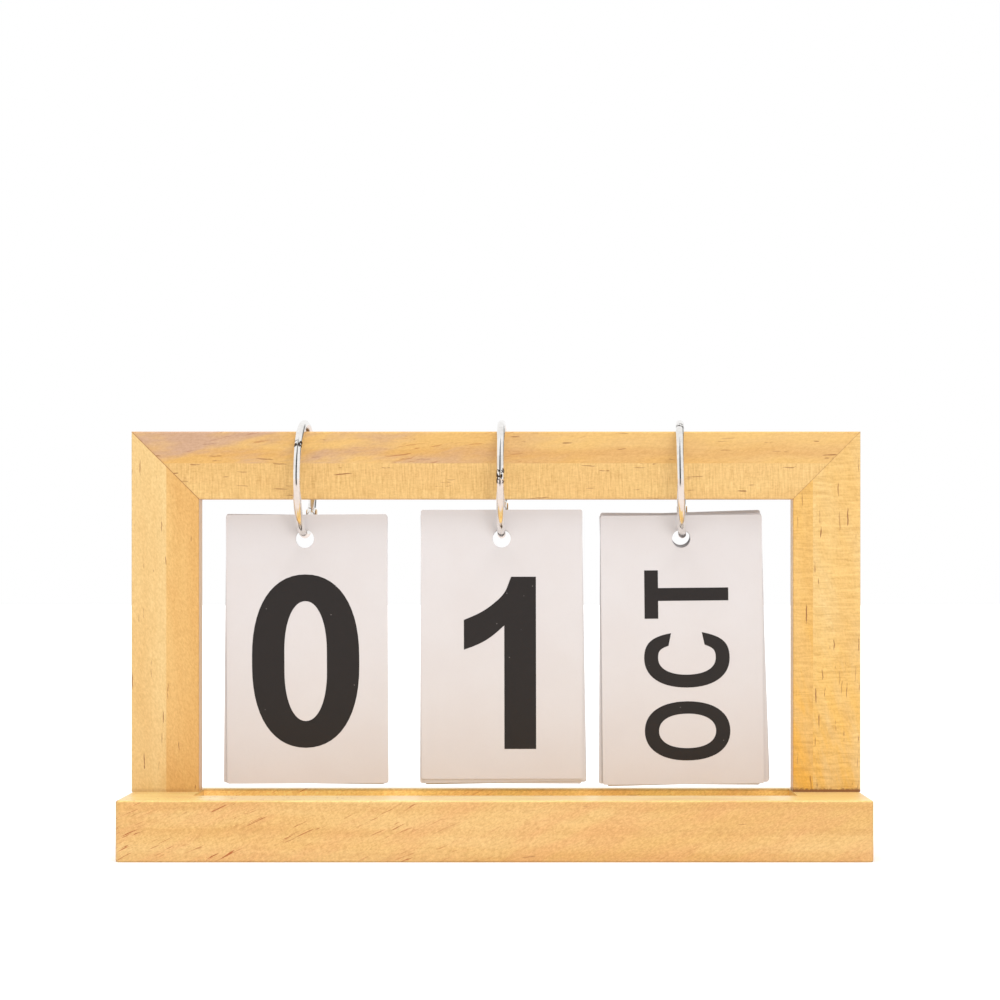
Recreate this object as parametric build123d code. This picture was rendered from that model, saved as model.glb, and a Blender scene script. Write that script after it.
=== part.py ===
from build123d import *
import os
from math import cos, degrees, radians, sin, sqrt

# Flip desk calendar: a pine stand whose top rail carries three hinged book rings, each with its own
# stack of punched cards for the tens digit, the units digit and the month.
# Frame: +X to the right, +Y to the back, +Z up, origin at the middle of the base's underside.
# All sizes are millimetres and all angles degrees.

# ---- driving dimensions -------------------------------------------------------------------------

# Base board
base_length = 270.0
base_depth = 88.0
base_height = 22.0
base_corner_radius = 1.6
base_edge_radius = 0.8

# Tray groove in the base's top, as long as the opening between the uprights
front_lip = 32.0
groove_width = 47.0
groove_depth = 8.0
groove_edge_radius = 0.5

# Frame of three mitred members, each glued up from two strips
member_width = 25.0
member_depth = 15.0
frame_setback = 56.0
frame_height = 133.5
member_edge_radius = 0.6
left_outer_strip = 12.9
right_outer_strip = 17.6
rail_upper_strip = 11.8

# Wood screws that come up through the base into the uprights' feet
screw_shank_diameter = 3.5
screw_head_diameter = 7.0
screw_head_height = 2.6
screw_length = 40.0
screw_recess = 1.0
screw_spacing = 12.0
screw_bore_clearance = 0.05
screw_point_length = 4.0
drive_slot_width = 1.0
drive_slot_depth = 1.2

# V-nails pressed into the back of each mitre
nail_leg = 7.0
nail_thickness = 0.5
nail_depth = 6.0
nail_spacing = 11.0
nail_clearance = 0.02

# Hinged book rings
ring_inner_radius = 19.0
wire_diameter = 3.0
rail_seat_clearance = 0.15
knuckle_radius = 2.3
knuckle_gap = 0.1
knuckle_clearance = 0.15
rivet_diameter = 1.8
rivet_head_diameter = 3.2
rivet_head_height = 0.4
rivet_clearance = 0.05
lap_half_angle = 4.0
lap_gap = 0.1

# Punched cards
card_width = 60.0
card_height = 100.0
card_thickness = 0.4
card_corner_radius = 0.8
hole_diameter = 6.8
hole_seat_clearance = 0.2

# Stations, from left to right. "hinge" and "closure" are angles round the ring from its lowest
# point, positive towards the front. "first" is the front card's offset behind the ring's middle,
# and "aside" is how far a card's middle lies to the right of its hole. The front card has its own
# "tilt", and those behind it "lean" by another angle and "fan" and "slip" a little about that.
stations = {
    "tens": dict(x=-71.2, yaw=-5.2, roll=0.0, hinge=-54.0, closure=126.0, cards=4, first=-0.9, pitch=0.60,
                 margin=9.0, aside=0.7, tilt=0.3, lean=-0.2, fan=0.4, slip=0.0),
    "units": dict(x=2.05, yaw=-1.0, roll=0.0, hinge=-62.0, closure=92.0, cards=10, first=-2.6, pitch=0.58,
                  margin=10.6, aside=0.0, tilt=0.1, lean=0.4, fan=0.6, slip=1.6),
    "month": dict(x=68.8, yaw=-2.6, roll=-1.2, hinge=-58.0, closure=155.0, cards=12, first=-1.6, pitch=0.74,
                  margin=8.7, aside=0.0, tilt=0.55, lean=0.8, fan=1.2, slip=0.0),
}

# ---- places worked out from them ----------------------------------------------------------------

base_front_y = -base_depth / 2
groove_front_y = base_front_y + front_lip
frame_front_y = base_front_y + frame_setback
frame_middle_y = frame_front_y + member_depth / 2
frame_back_y = frame_front_y + member_depth
frame_half = base_length / 2
opening_half = frame_half - member_width
rail_top_z = base_height + frame_height
rail_bottom_z = rail_top_z - member_width

wire_radius = wire_diameter / 2
ring_mid_radius = ring_inner_radius + wire_radius
rivet_circle_radius = ring_inner_radius + knuckle_radius

# The ring hangs on the rail's two rounded top edges.
seat_half = member_depth / 2 - member_edge_radius
seat_reach = ring_inner_radius - rail_seat_clearance - member_edge_radius
ring_centre_z = rail_top_z - member_edge_radius - sqrt(seat_reach**2 - seat_half**2)


def box_between(low, high):
    """A box from its lowest corner to its highest."""
    size = [high[i] - low[i] for i in range(3)]
    middle = [(high[i] + low[i]) / 2 for i in range(3)]
    return Pos(*middle) * Box(*size)


def save(shape, node):
    """One STEP file for one named piece."""
    shape.label = node
    export_step(shape, f"parts/{node}.step")


# ---- base ---------------------------------------------------------------------------------------


def screw_places():
    """Middle of each screw's hole: two in a row under each upright's foot."""
    foot = frame_half - member_width / 2
    return [
        (side * foot + step * screw_spacing / 2, frame_middle_y)
        for side in (-1, 1)
        for step in (-1, 1)
    ]


def screw_bore(x, y):
    """The space one screw needs, from the base's underside up to the end of its point."""
    seat = screw_recess + screw_head_height
    spare = screw_bore_clearance
    shank_height = screw_length - screw_head_height - screw_point_length
    well = Pos(x, y, screw_recess / 2) * Cylinder(screw_head_diameter / 2 + spare, screw_recess)
    sink = Pos(x, y, screw_recess + screw_head_height / 2) * Cone(
        screw_head_diameter / 2 + spare, screw_shank_diameter / 2 + spare, screw_head_height
    )
    shank = Pos(x, y, seat + shank_height / 2) * Cylinder(
        screw_shank_diameter / 2 + spare, shank_height
    )
    point = Pos(x, y, seat + shank_height + (screw_point_length + spare) / 2) * Cone(
        screw_shank_diameter / 2 + spare, 0.3 + spare, screw_point_length + spare
    )
    return well + sink + shank + point


def all_screw_bores():
    """Every screw's space in one shape, cut from the base and from the uprights alike."""
    bores = [screw_bore(x, y) for x, y in screw_places()]
    return bores[0] + bores[1:]


def base_board():
    """Solid pine board with a tray groove along its top, rounded over at every outer edge."""
    board = Pos(0, 0, base_height / 2) * Box(base_length, base_depth, base_height)
    board = fillet(board.edges().filter_by(Axis.Z), base_corner_radius)
    rims = board.faces().sort_by(Axis.Z)[-1].edges() + board.faces().sort_by(Axis.Z)[0].edges()
    board = fillet(rims, base_edge_radius)
    groove = box_between(
        (-opening_half, groove_front_y, base_height - groove_depth),
        (opening_half, groove_front_y + groove_width, base_height + groove_depth),
    )
    board -= groove
    lips = (
        board.edges()
        .filter_by(Axis.X)
        .filter_by(lambda e: abs(e.center().Z - base_height) < groove_edge_radius / 10)
        .filter_by(lambda e: abs(e.length - 2 * opening_half) < groove_edge_radius)
    )
    board = fillet(lips, groove_edge_radius)
    return board - all_screw_bores()


def screw(x, y):
    """Countersunk wood screw, head down in the base, with a straight drive slot."""
    seat = screw_recess + screw_head_height
    shank_height = screw_length - screw_head_height - screw_point_length
    head = Pos(x, y, screw_recess + screw_head_height / 2) * Cone(
        screw_head_diameter / 2, screw_shank_diameter / 2, screw_head_height
    )
    shank = Pos(x, y, seat + shank_height / 2) * Cylinder(screw_shank_diameter / 2, shank_height)
    point = Pos(x, y, seat + shank_height + screw_point_length / 2) * Cone(
        screw_shank_diameter / 2, 0.3, screw_point_length
    )
    slot = box_between(
        (x - screw_head_diameter, y - drive_slot_width / 2, 0),
        (x + screw_head_diameter, y + drive_slot_width / 2, screw_recess + drive_slot_depth),
    )
    return head + shank + point - slot


# ---- frame --------------------------------------------------------------------------------------


def member(corners):
    """A member from its front outline in X and Z, with the edges along its length rounded."""
    outline = Plane.XZ * make_face(Polyline(*corners, close=True))
    bar = Pos(0, frame_back_y, 0) * extrude(outline, member_depth)
    long_way = Axis.X if corners[0][1] == corners[1][1] else Axis.Z
    return fillet(bar.edges().filter_by(long_way), member_edge_radius)


def upright(side):
    """The left (-1) or right (+1) upright, square at the foot and mitred at the top."""
    outer = side * frame_half
    inner = side * opening_half
    corners = [(outer, base_height), (outer, rail_top_z), (inner, rail_bottom_z), (inner, base_height)]
    return member(corners)


def top_rail():
    """The rail between the two mitres."""
    corners = [
        (-frame_half, rail_top_z),
        (frame_half, rail_top_z),
        (opening_half, rail_bottom_z),
        (-opening_half, rail_bottom_z),
    ]
    return member(corners)


def slab(axis_index, low, high):
    """A block that keeps everything between two values of X (0) or Z (2)."""
    reach = 2 * base_length
    start = [-reach, -reach, -reach]
    end = [reach, reach, reach]
    start[axis_index] = low
    end[axis_index] = high
    return box_between(start, end)


def v_nail(side, along):
    """One V-nail with its bend on the mitre, a leg in the rail and a leg in the upright."""
    x = side * (frame_half - along)
    z = rail_top_z - along
    half = nail_thickness / 2
    front = frame_back_y - nail_depth
    rail_end = x - side * nail_leg
    rail_start = x + side * half
    rail_leg = box_between(
        (min(rail_end, rail_start), front, z - half),
        (max(rail_end, rail_start), frame_back_y, z + half),
    )
    upright_leg = box_between((x - half, front, z - nail_leg), (x + half, frame_back_y, z + half))
    return rail_leg + upright_leg


def v_nail_places():
    """Two nails to a mitre, evenly either side of its middle."""
    middle = member_width / 2
    return [
        (side, middle + step * nail_spacing / 2) for side in (-1, 1) for step in (-1, 1)
    ]


def frame_strips():
    """The six strips of the frame, each cut from its member along the glue line."""
    left = upright(-1)
    right = upright(1)
    rail = top_rail()
    left_joint = -frame_half + left_outer_strip
    right_joint = frame_half - right_outer_strip
    rail_joint = rail_top_z - rail_upper_strip
    edge = 2 * base_length
    strips = {
        "left_upright_outer_strip": left & slab(0, -edge, left_joint),
        "left_upright_inner_strip": left & slab(0, left_joint, edge),
        "right_upright_inner_strip": right & slab(0, -edge, right_joint),
        "right_upright_outer_strip": right & slab(0, right_joint, edge),
        "top_rail_upper_strip": rail & slab(2, rail_joint, edge),
        "top_rail_lower_strip": rail & slab(2, -edge, rail_joint),
    }
    pockets = [v_nail(side, along) for side, along in v_nail_places()]
    bores = all_screw_bores()
    for node in strips:
        for pocket in pockets:
            strips[node] -= pocket
        if "upright" in node:
            strips[node] -= bores
    return strips


# ---- rings --------------------------------------------------------------------------------------


def ring_point(angle, radius):
    """A point of the ring's own plane, from its angle round the ring and its radius."""
    turn = radians(angle)
    return (0, -radius * sin(turn), -radius * cos(turn))


def wire(one_end, other_end):
    """Round wire bent to the ring's circle between two angles."""
    start, end = sorted((one_end, other_end))
    section = Plane.XZ * Pos(0, -ring_mid_radius) * Circle(wire_radius)
    bent = revolve(section, Axis((0, 0, 0), (-1, 0, 0)), revolution_arc=end - start)
    return Rot(-start, 0, 0) * bent


def across(angle, radius, low_x, high_x):
    """A cylinder across the ring's plane, on the hinge's axis at that angle."""
    x, y, z = ring_point(angle, rivet_circle_radius)
    return Pos((low_x + high_x) / 2, y, z) * Rot(0, 90, 0) * Cylinder(radius, high_x - low_x)


def side_of_ring(side):
    """Everything on one side of the ring's middle plane, clear of it by half the lap gap."""
    reach = 3 * ring_mid_radius
    if side < 0:
        return box_between((-reach, -reach, -reach), (-lap_gap / 2, reach, reach))
    return box_between((lap_gap / 2, -reach, -reach), (reach, reach, reach))


def knuckle(angle, side):
    """One half of the hinge: an eyelet on one side of the middle plane, with rounded shoulders."""
    low, high = sorted((side * knuckle_gap / 2, side * wire_radius))
    eyelet = across(angle, knuckle_radius, low, high)
    section = Plane.XZ * Pos(0, -rivet_circle_radius) * Circle(knuckle_radius)
    shoulders = revolve(section, Axis.X, revolution_arc=360)
    return eyelet & shoulders


def ring_half(hinge, closure, side):
    """Half a ring, from its eyelet at the hinge round to its half lap at the closure.

    The side is -1 or 1: the side of the ring's middle plane that its eyelet and lap lie on.
    """
    onwards = 1 if closure > hinge else -1
    gap_angle = degrees(lap_gap / ring_mid_radius)
    lap_start = closure - onwards * lap_half_angle
    lap_end = closure + onwards * (lap_half_angle - gap_angle)
    half = wire(hinge, lap_start) + (wire(lap_start, lap_end) & side_of_ring(side))
    low, high = sorted((side * knuckle_gap / 2, -side * 2 * wire_diameter))
    half -= across(hinge, knuckle_radius + knuckle_clearance, low, high)
    half += knuckle(hinge, side)
    bore = rivet_diameter / 2 + (rivet_clearance if side > 0 else 0)
    return half - across(hinge, bore, -wire_diameter, wire_diameter)


def rivet(hinge):
    """Rivet through both eyelets: tight in the carrying half, free in the opening half."""
    near = -wire_radius
    far = wire_radius + rivet_clearance
    head_radius = rivet_head_diameter / 2
    shank = across(hinge, rivet_diameter / 2, near, far)
    near_head = across(hinge, head_radius, near - rivet_head_height, near)
    far_head = across(hinge, head_radius, far, far + rivet_head_height)
    return shank + near_head + far_head


def ring_place(station):
    """Where a station's ring hangs, with its small yaw and roll."""
    return Pos(station["x"], frame_middle_y, ring_centre_z) * Rot(0, station["roll"], station["yaw"])


# ---- cards --------------------------------------------------------------------------------------


def card_offset(station, index):
    """How far behind the ring's middle a card's mid plane lies, counted from the front card."""
    return station["first"] + index * station["pitch"]


def hole_height(offset):
    """Height of a card's hole, whose top edge rests on the wire at that offset."""
    reach = ring_inner_radius - hole_seat_clearance
    furthest = abs(offset) + card_thickness / 2
    return ring_centre_z - sqrt(reach**2 - furthest**2) - hole_diameter / 2


def scatter(index):
    """A share from -1 to 1 that differs from card to card."""
    return sin(radians(index * 137))


def card_tilt(station, index):
    """Small turn of a card about its hole: the front card's own, then a loose fan behind it."""
    if index == 0:
        return station["tilt"]
    return station["lean"] + station["fan"] * scatter(index)


def card_margin(station, index):
    """From the middle of a card's hole to its top edge, which is a little less on some cards."""
    return station["margin"] - station["slip"] * abs(scatter(index))


def card(station, index):
    """A punched card, hanging by its hole and turned a little about it."""
    offset = card_offset(station, index)
    blank = RectangleRounded(card_width, card_height, card_corner_radius)
    middle = Pos(station["aside"], card_margin(station, index) - card_height / 2)
    outline = middle * blank - Circle(hole_diameter / 2)
    sheet = Pos(0, card_thickness / 2, 0) * extrude(Plane.XZ * outline, card_thickness)
    y = frame_middle_y + offset
    z = hole_height(offset)
    return Pos(station["x"], y, z) * Rot(0, -card_tilt(station, index), 0) * sheet


def card_name(name, index):
    """Cards in their order from the front: 0 to 3, then 1 to 9 and 0, then October to September."""
    if name == "tens":
        return f"tens_card_{index}"
    if name == "units":
        return f"units_card_{(index + 1) % 10}"
    return f"month_card_{(index + 9) % 12 + 1:02d}"


# ---- the whole calendar -------------------------------------------------------------------------


def build():
    os.makedirs("parts", exist_ok=True)
    save(base_board(), "base_board")
    for node, strip in frame_strips().items():
        save(strip, node)
    save(Compound(children=[screw(x, y) for x, y in screw_places()]), "base_screws")
    nails = [v_nail(side, along) for side, along in v_nail_places()]
    save(Compound(children=nails), "corner_v_nails")
    for name, station in stations.items():
        place = ring_place(station)
        hinge = station["hinge"]
        closure = station["closure"]
        other_way = closure - 360 if closure > hinge else closure + 360
        save(place * ring_half(hinge, closure, -1), f"{name}_ring_carrying_half")
        save(place * ring_half(hinge, other_way, 1), f"{name}_ring_opening_half")
        save(place * rivet(hinge), f"{name}_ring_rivet")
        for index in range(station["cards"]):
            save(card(station, index), card_name(name, index))


build()
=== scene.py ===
import math

import bpy
from mathutils import Matrix, Vector


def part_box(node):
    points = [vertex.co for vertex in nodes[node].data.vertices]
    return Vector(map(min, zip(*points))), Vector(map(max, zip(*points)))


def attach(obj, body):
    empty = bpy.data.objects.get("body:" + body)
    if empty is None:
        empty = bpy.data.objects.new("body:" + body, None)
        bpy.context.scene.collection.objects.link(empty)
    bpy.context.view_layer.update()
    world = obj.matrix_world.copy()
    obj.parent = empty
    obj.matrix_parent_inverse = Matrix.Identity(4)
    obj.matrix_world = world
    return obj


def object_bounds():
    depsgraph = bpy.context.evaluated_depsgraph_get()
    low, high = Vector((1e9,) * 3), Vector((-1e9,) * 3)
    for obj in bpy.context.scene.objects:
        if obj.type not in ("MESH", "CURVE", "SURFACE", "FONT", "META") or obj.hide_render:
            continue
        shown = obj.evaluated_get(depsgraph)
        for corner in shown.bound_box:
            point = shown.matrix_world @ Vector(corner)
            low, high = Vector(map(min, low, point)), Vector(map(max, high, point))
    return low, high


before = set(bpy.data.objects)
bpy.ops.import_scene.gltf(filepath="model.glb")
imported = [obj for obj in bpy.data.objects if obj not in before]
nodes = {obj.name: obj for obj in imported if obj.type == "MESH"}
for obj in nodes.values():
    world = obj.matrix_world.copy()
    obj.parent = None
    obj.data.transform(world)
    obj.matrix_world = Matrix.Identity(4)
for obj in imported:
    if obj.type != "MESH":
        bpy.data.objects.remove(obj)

cad_box = [list(corner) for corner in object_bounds()]
bpy.ops.object.select_all(action="DESELECT")

# ---- studio -------------------------------------------------------------------------------------
# The calendar stands on a plain white sweep under a big soft overhead light and a fainter front one.
# The camera is level with the upper part of the cards and a little right of the middle, and its
# shifted lens keeps the uprights true.
camera_distance = 1.380
camera_height = 0.1005
focal_length_mm = 139.6
sensor_width_mm = 36.0
camera_offset = 0.0137
sideways_shift = -0.033
upward_shift = 0.080
base_front = cad_box[0][1]

camera_place = (camera_offset, base_front - camera_distance, camera_height)
bpy.ops.object.camera_add(location=camera_place, rotation=(math.pi / 2, 0, 0))
camera = bpy.context.object
camera.name = "camera"
camera.data.lens = focal_length_mm
camera.data.sensor_width = sensor_width_mm
camera.data.shift_x = sideways_shift
camera.data.shift_y = upward_shift
camera.data.clip_end = 60
scene = bpy.context.scene
scene.camera = camera
scene.view_settings.view_transform = "Standard"


def put(tree, kind, inputs=None, **settings):
    """Adds a node. An input given as a socket is linked, and any other value is set."""
    node = tree.nodes.new(kind)
    for name, value in settings.items():
        setattr(node, name, value)
    for key, value in (inputs or {}).items():
        if isinstance(value, bpy.types.NodeSocket):
            tree.links.new(value, node.inputs[key])
        else:
            node.inputs[key].default_value = value
    return node


def sum_of(tree, operation, first, second=0.0, third=0.0):
    """One Math node's result."""
    inputs = {0: first, 1: second, 2: third}
    return put(tree, "ShaderNodeMath", inputs, operation=operation).outputs[0]


def ramp_between(tree, value, low, high, from_value=0.0, to_value=1.0):
    """A smooth step from one value to another as the input goes from low to high."""
    inputs = {"Value": value, "From Min": low, "From Max": high, "To Min": from_value, "To Max": to_value}
    return put(tree, "ShaderNodeMapRange", inputs, interpolation_type="SMOOTHSTEP").outputs[0]


def blend(tree, amount, first, second, how="MIX"):
    """One colour mixed into another."""
    node = put(tree, "ShaderNodeMix", data_type="RGBA", blend_type=how)
    for key, value in ((0, amount), (6, first), (7, second)):
        if isinstance(value, bpy.types.NodeSocket):
            tree.links.new(value, node.inputs[key])
        else:
            node.inputs[key].default_value = value
    return node.outputs[2]


def within(tree, value, rise, fall):
    """One inside a band and nothing outside it: each edge is soft between its two values."""
    rising = ramp_between(tree, value, *rise)
    return sum_of(tree, "MULTIPLY", rising, ramp_between(tree, value, *fall, 1.0, 0.0))


# Bright metal shows the room, so the room has a dim doorway behind the camera and a dim side wall.
# A bearing, in radians, turns from straight in front of the calendar towards its right. A rise is the
# upward part of a direction.
doorway_left = (-0.62, -0.45)
doorway_right = (0.10, 0.24)
doorway_foot_rise = (-0.42, -0.30)
doorway_dimness = 0.96
side_wall_near = (1.55, 1.80)
side_wall_far = (2.55, 2.75)
side_wall_top_rise = (0.42, 0.60)
side_wall_dimness = 0.85
room_white = (1, 1, 1, 1)
room_dark = (0.02, 0.018, 0.016, 1)
soft_light_loss = -0.48

world = bpy.data.worlds.new("white_room")
scene.world = world
world.use_nodes = True
room = world.node_tree
background = room.nodes["Background"]
heading = put(room, "ShaderNodeSeparateXYZ", {0: put(room, "ShaderNodeTexCoord").outputs["Generated"]})
bearing = sum_of(room, "ARCTAN2", heading.outputs["X"], sum_of(room, "MULTIPLY", heading.outputs["Y"], -1.0))
rise = heading.outputs["Z"]
doorway = within(room, bearing, doorway_left, doorway_right)
doorway = sum_of(room, "MULTIPLY", doorway, ramp_between(room, rise, *doorway_foot_rise))
doorway = sum_of(room, "MULTIPLY", doorway, doorway_dimness)
side_wall = within(room, bearing, side_wall_near, side_wall_far)
side_wall = sum_of(room, "MULTIPLY", side_wall, ramp_between(room, rise, *side_wall_top_rise, 1.0, 0.0))
side_wall = sum_of(room, "MULTIPLY", side_wall, side_wall_dimness)
dim = sum_of(room, "MAXIMUM", doorway, side_wall)
kind_of_ray = put(room, "ShaderNodeLightPath").outputs
dim = sum_of(room, "MULTIPLY", dim, kind_of_ray["Is Glossy Ray"])
room.links.new(blend(room, dim, room_white, room_dark), background.inputs["Color"])
room_light = sum_of(room, "MULTIPLY_ADD", kind_of_ray["Is Diffuse Ray"], soft_light_loss, 1.0)
room.links.new(room_light, background.inputs["Strength"])
world.cycles.sampling_method = "NONE"

# Each light has its strength, and in degrees its softness, its lean from straight down and its turn.
lamps = [("overhead_light", 3.1, 60, 10, -6), ("front_light", 1.45, 34, 81, 10)]
lamp_stand = (0, -0.4, 1.5)
for name, strength, softness, lean, sideways in lamps:
    bpy.ops.object.light_add(type="SUN", location=lamp_stand)
    lamp = bpy.context.object
    lamp.name = name
    lamp.data.energy = strength
    lamp.data.angle = math.radians(softness)
    lamp.rotation_euler = (math.radians(lean), 0, math.radians(sideways))
    lamp.visible_glossy = False

# The floor shows white. Bright metal sees it greyer, a painted shade, with a painted shadow of the doorway on
# it.
floor_radius = 14.0
doorway_shadow_edge = (-0.75, -0.45)
floor_white = (0.92, 0.92, 0.92, 1)
floor_shade_in_metal = (0.66, 0.58, 0.54, 1)
doorway_shadow_in_metal = (0.03, 0.025, 0.02, 1)
floor_roughness = 0.7
bpy.ops.mesh.primitive_circle_add(vertices=96, radius=floor_radius, fill_type="NGON")
floor = bpy.context.object
floor.name = "floor"
floor_paint = bpy.data.materials.new("white_floor")
floor_paint.use_nodes = True
floor_finish = floor_paint.node_tree.nodes["Principled BSDF"]
tree = floor_paint.node_tree
spot = put(tree, "ShaderNodeSeparateXYZ", {0: put(tree, "ShaderNodeTexCoord").outputs["Object"]}).outputs
floor_bearing = sum_of(tree, "ARCTAN2", spot["X"], sum_of(tree, "MULTIPLY", spot["Y"], -1.0))
# The doorway's painted shadow on the floor, which only bright metal sees.
threshold = within(tree, floor_bearing, doorway_left, doorway_right)
threshold = sum_of(tree, "MULTIPLY", threshold, ramp_between(tree, spot["Y"], *doorway_shadow_edge, 1.0, 0.0))
shade_seen_in_metal = blend(tree, threshold, floor_shade_in_metal, doorway_shadow_in_metal)
seen_by_ray = put(tree, "ShaderNodeLightPath").outputs["Is Glossy Ray"]
tree.links.new(blend(tree, seen_by_ray, floor_white, shade_seen_in_metal), floor_finish.inputs["Base Color"])
floor_finish.inputs["Roughness"].default_value = floor_roughness
floor.data.materials.append(floor_paint)

# ---- base board ---------------------------------------------------------------------------------
# A single board of light pine with a shallow tray groove planed along its top, clear lacquered.
# Its figure is mottled, with short reddish streaks across the left third.


def new_group(name, inputs, outputs):
    """A shader node group with its sockets, and its input node."""
    group = bpy.data.node_groups.new(name, "ShaderNodeTree")
    for socket, kind, value in inputs:
        made = group.interface.new_socket(socket, in_out="INPUT", socket_type="NodeSocket" + kind)
        if value is not None:
            made.default_value = value
    for socket, kind in outputs:
        group.interface.new_socket(socket, in_out="OUTPUT", socket_type="NodeSocket" + kind)
    return group, put(group, "NodeGroupInput").outputs


def stretched(tree, place, sizes, shift=0.0):
    """The place divided by the size of a figure along the grain, through it and across it."""
    scale = tuple(1.0 / size for size in sizes)
    inputs = {"Vector": place, "Scale": scale, "Location": (shift, shift, shift)}
    return put(tree, "ShaderNodeMapping", inputs).outputs[0]


def cloud(tree, place, detail=2.0, roughness=0.5, distortion=0.0):
    """Noise from 0 to 1."""
    inputs = {"Vector": place, "Scale": 1.0, "Detail": detail, "Roughness": roughness,
              "Distortion": distortion}
    return put(tree, "ShaderNodeTexNoise", inputs).outputs["Fac"]


# Pine: X runs along the grain, Y through the board and Z across its face. Each part of the figure has
# its size that way, in metres.
band_size = (0.11, 0.016, 0.011)
ring_size = (0.30, 0.0045, 0.0045)
flush_size = (0.040, 0.020, 0.0075)
fibre_size = (0.012, 0.0006, 0.0006)
speckle_size = (0.0012, 0.0006, 0.0006)
ray_size = (0.0006, 0.004, 0.0060)
ripple_size = (0.0010, 0.010, 0.0070)
streak_size = (0.0105, 0.004, 0.00070)
streak_field_size = (0.020, 0.020, 0.009)
fleck_size = (0.0190, 0.00115, 0.00115)
sway_reach = (0.0, 0.004, 0.004)
wobble_reach = (0.0, 0.0007, 0.0007)
ring_tint = (0.86, 0.74, 0.60, 1)
streak_tint = (0.56, 0.27, 0.16, 1)
fleck_brown = (0.215, 0.075, 0.022, 1)
pine, given = new_group(
    "pine_figure",
    [("Place", "Vector", None), ("Pale", "Color", None), ("Honey", "Color", None), ("Flush", "Color", None),
     ("Fleck Brown", "Color", fleck_brown), ("Flush Amount", "Float", 0.3), ("Fibre", "Float", 0.5),
     ("Speckle", "Float", 0.5), ("Rays", "Float", 0.0), ("Ripple", "Float", 0.0), ("Streaks", "Float", 0.0),
     ("Streak Slope", "Float", 0.3), ("Flecks", "Float", 0.5), ("Rings", "Float", 0.3)],
    [("Color", "Color"), ("Roughness", "Float"), ("Height", "Float")])
sway_noise = {"Vector": given["Place"], "Scale": 28.0, "Detail": 1.0}
sway = put(pine, "ShaderNodeTexNoise", sway_noise).outputs["Color"]
sway = put(pine, "ShaderNodeVectorMath", {0: sway, 1: (-0.5, -0.5, -0.5)}, operation="ADD").outputs[0]
sway = put(pine, "ShaderNodeVectorMath", {0: sway, 1: sway_reach}, operation="MULTIPLY").outputs[0]
grain = put(pine, "ShaderNodeVectorMath", {0: given["Place"], 1: sway}, operation="ADD").outputs[0]
slope = {"Vector": grain, "Angle": given["Streak Slope"]}
tilted = put(pine, "ShaderNodeVectorRotate", slope, rotation_type="Y_AXIS").outputs[0]

bands = cloud(pine, stretched(pine, grain, band_size), 3.0)
tone = blend(pine, ramp_between(pine, bands, 0.34, 0.66), given["Pale"], given["Honey"])
ring_waves = {"Vector": stretched(pine, grain, ring_size, 9.0), "Scale": 0.16, "Distortion": 1.6,
              "Detail": 1.5, "Detail Scale": 0.6}
rings = put(pine, "ShaderNodeTexWave", ring_waves, wave_type="RINGS", rings_direction="X").outputs["Fac"]
rings = sum_of(pine, "MULTIPLY", ramp_between(pine, rings, 0.55, 1.0), given["Rings"])
tone = blend(pine, rings, tone, blend(pine, 1.0, tone, ring_tint, "MULTIPLY"))
flush = ramp_between(pine, cloud(pine, stretched(pine, tilted, flush_size, 3.0), 4.0, 0.6), 0.38, 0.66)
tone = blend(pine, sum_of(pine, "MULTIPLY", flush, given["Flush Amount"]), tone, given["Flush"])

fibre = cloud(pine, stretched(pine, grain, fibre_size, 5.0), 3.0, 0.65)
speckle = cloud(pine, stretched(pine, tilted, speckle_size, 7.0), 3.0, 0.7)
rays = cloud(pine, stretched(pine, tilted, ray_size, 2.0), 2.0, 0.6)
ripple = cloud(pine, stretched(pine, grain, ripple_size, 4.0), 2.0, 0.55, 0.9)

# Each fine figure lightens and darkens the wood about its tone, green and blue more than red.
light = 1.0
figures = [(fibre, "Fibre", 0.34), (speckle, "Speckle", 0.90), (rays, "Rays", 0.50),
           (ripple, "Ripple", 0.62)]
for figure, amount, depth in figures:
    depth = sum_of(pine, "MULTIPLY", given[amount], depth)
    light = sum_of(pine, "MULTIPLY_ADD", sum_of(pine, "SUBTRACT", figure, 0.5), depth, light)
green_light = sum_of(pine, "POWER", light, 1.3)
blue_light = sum_of(pine, "POWER", light, 1.9)
shading = put(pine, "ShaderNodeCombineColor", {0: light, 1: green_light, 2: blue_light}).outputs[0]
tone = blend(pine, 1.0, tone, shading, "MULTIPLY")

streak_noise = cloud(pine, stretched(pine, tilted, streak_size, 6.0), 2.0, 0.6, 0.7)
streak_field = cloud(pine, stretched(pine, grain, streak_field_size, 8.0), 1.0)
streaks = ramp_between(pine, streak_noise, 0.605, 0.68)
streaks = sum_of(pine, "MULTIPLY", streaks, ramp_between(pine, streak_field, 0.43, 0.55))
streaks = sum_of(pine, "MULTIPLY", streaks, given["Streaks"])
tone = blend(pine, streaks, tone, blend(pine, 1.0, tone, streak_tint, "MULTIPLY"))

# Flecks are short dark resin ducts, each with its own size and depth of brown.
wobble = put(pine, "ShaderNodeTexNoise", {"Vector": grain, "Scale": 320.0, "Detail": 1.0}).outputs["Color"]
wobble = put(pine, "ShaderNodeVectorMath", {0: wobble, 1: wobble_reach}, operation="MULTIPLY").outputs[0]
fleck_place = put(pine, "ShaderNodeVectorMath", {0: grain, 1: wobble}, operation="ADD").outputs[0]
fleck_place = stretched(pine, fleck_place, fleck_size, 1.0)
cells = put(pine, "ShaderNodeTexVoronoi", {"Vector": fleck_place, "Scale": 1.0}, feature="F1")
chosen = put(pine, "ShaderNodeSeparateColor", {0: cells.outputs["Color"]})
reach = sum_of(pine, "MULTIPLY_ADD", chosen.outputs[1], 0.13, 0.11)
fleck = sum_of(pine, "DIVIDE", cells.outputs["Distance"], reach)
fleck = ramp_between(pine, fleck, 0.75, 1.15, 1.0, 0.0)
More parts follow.
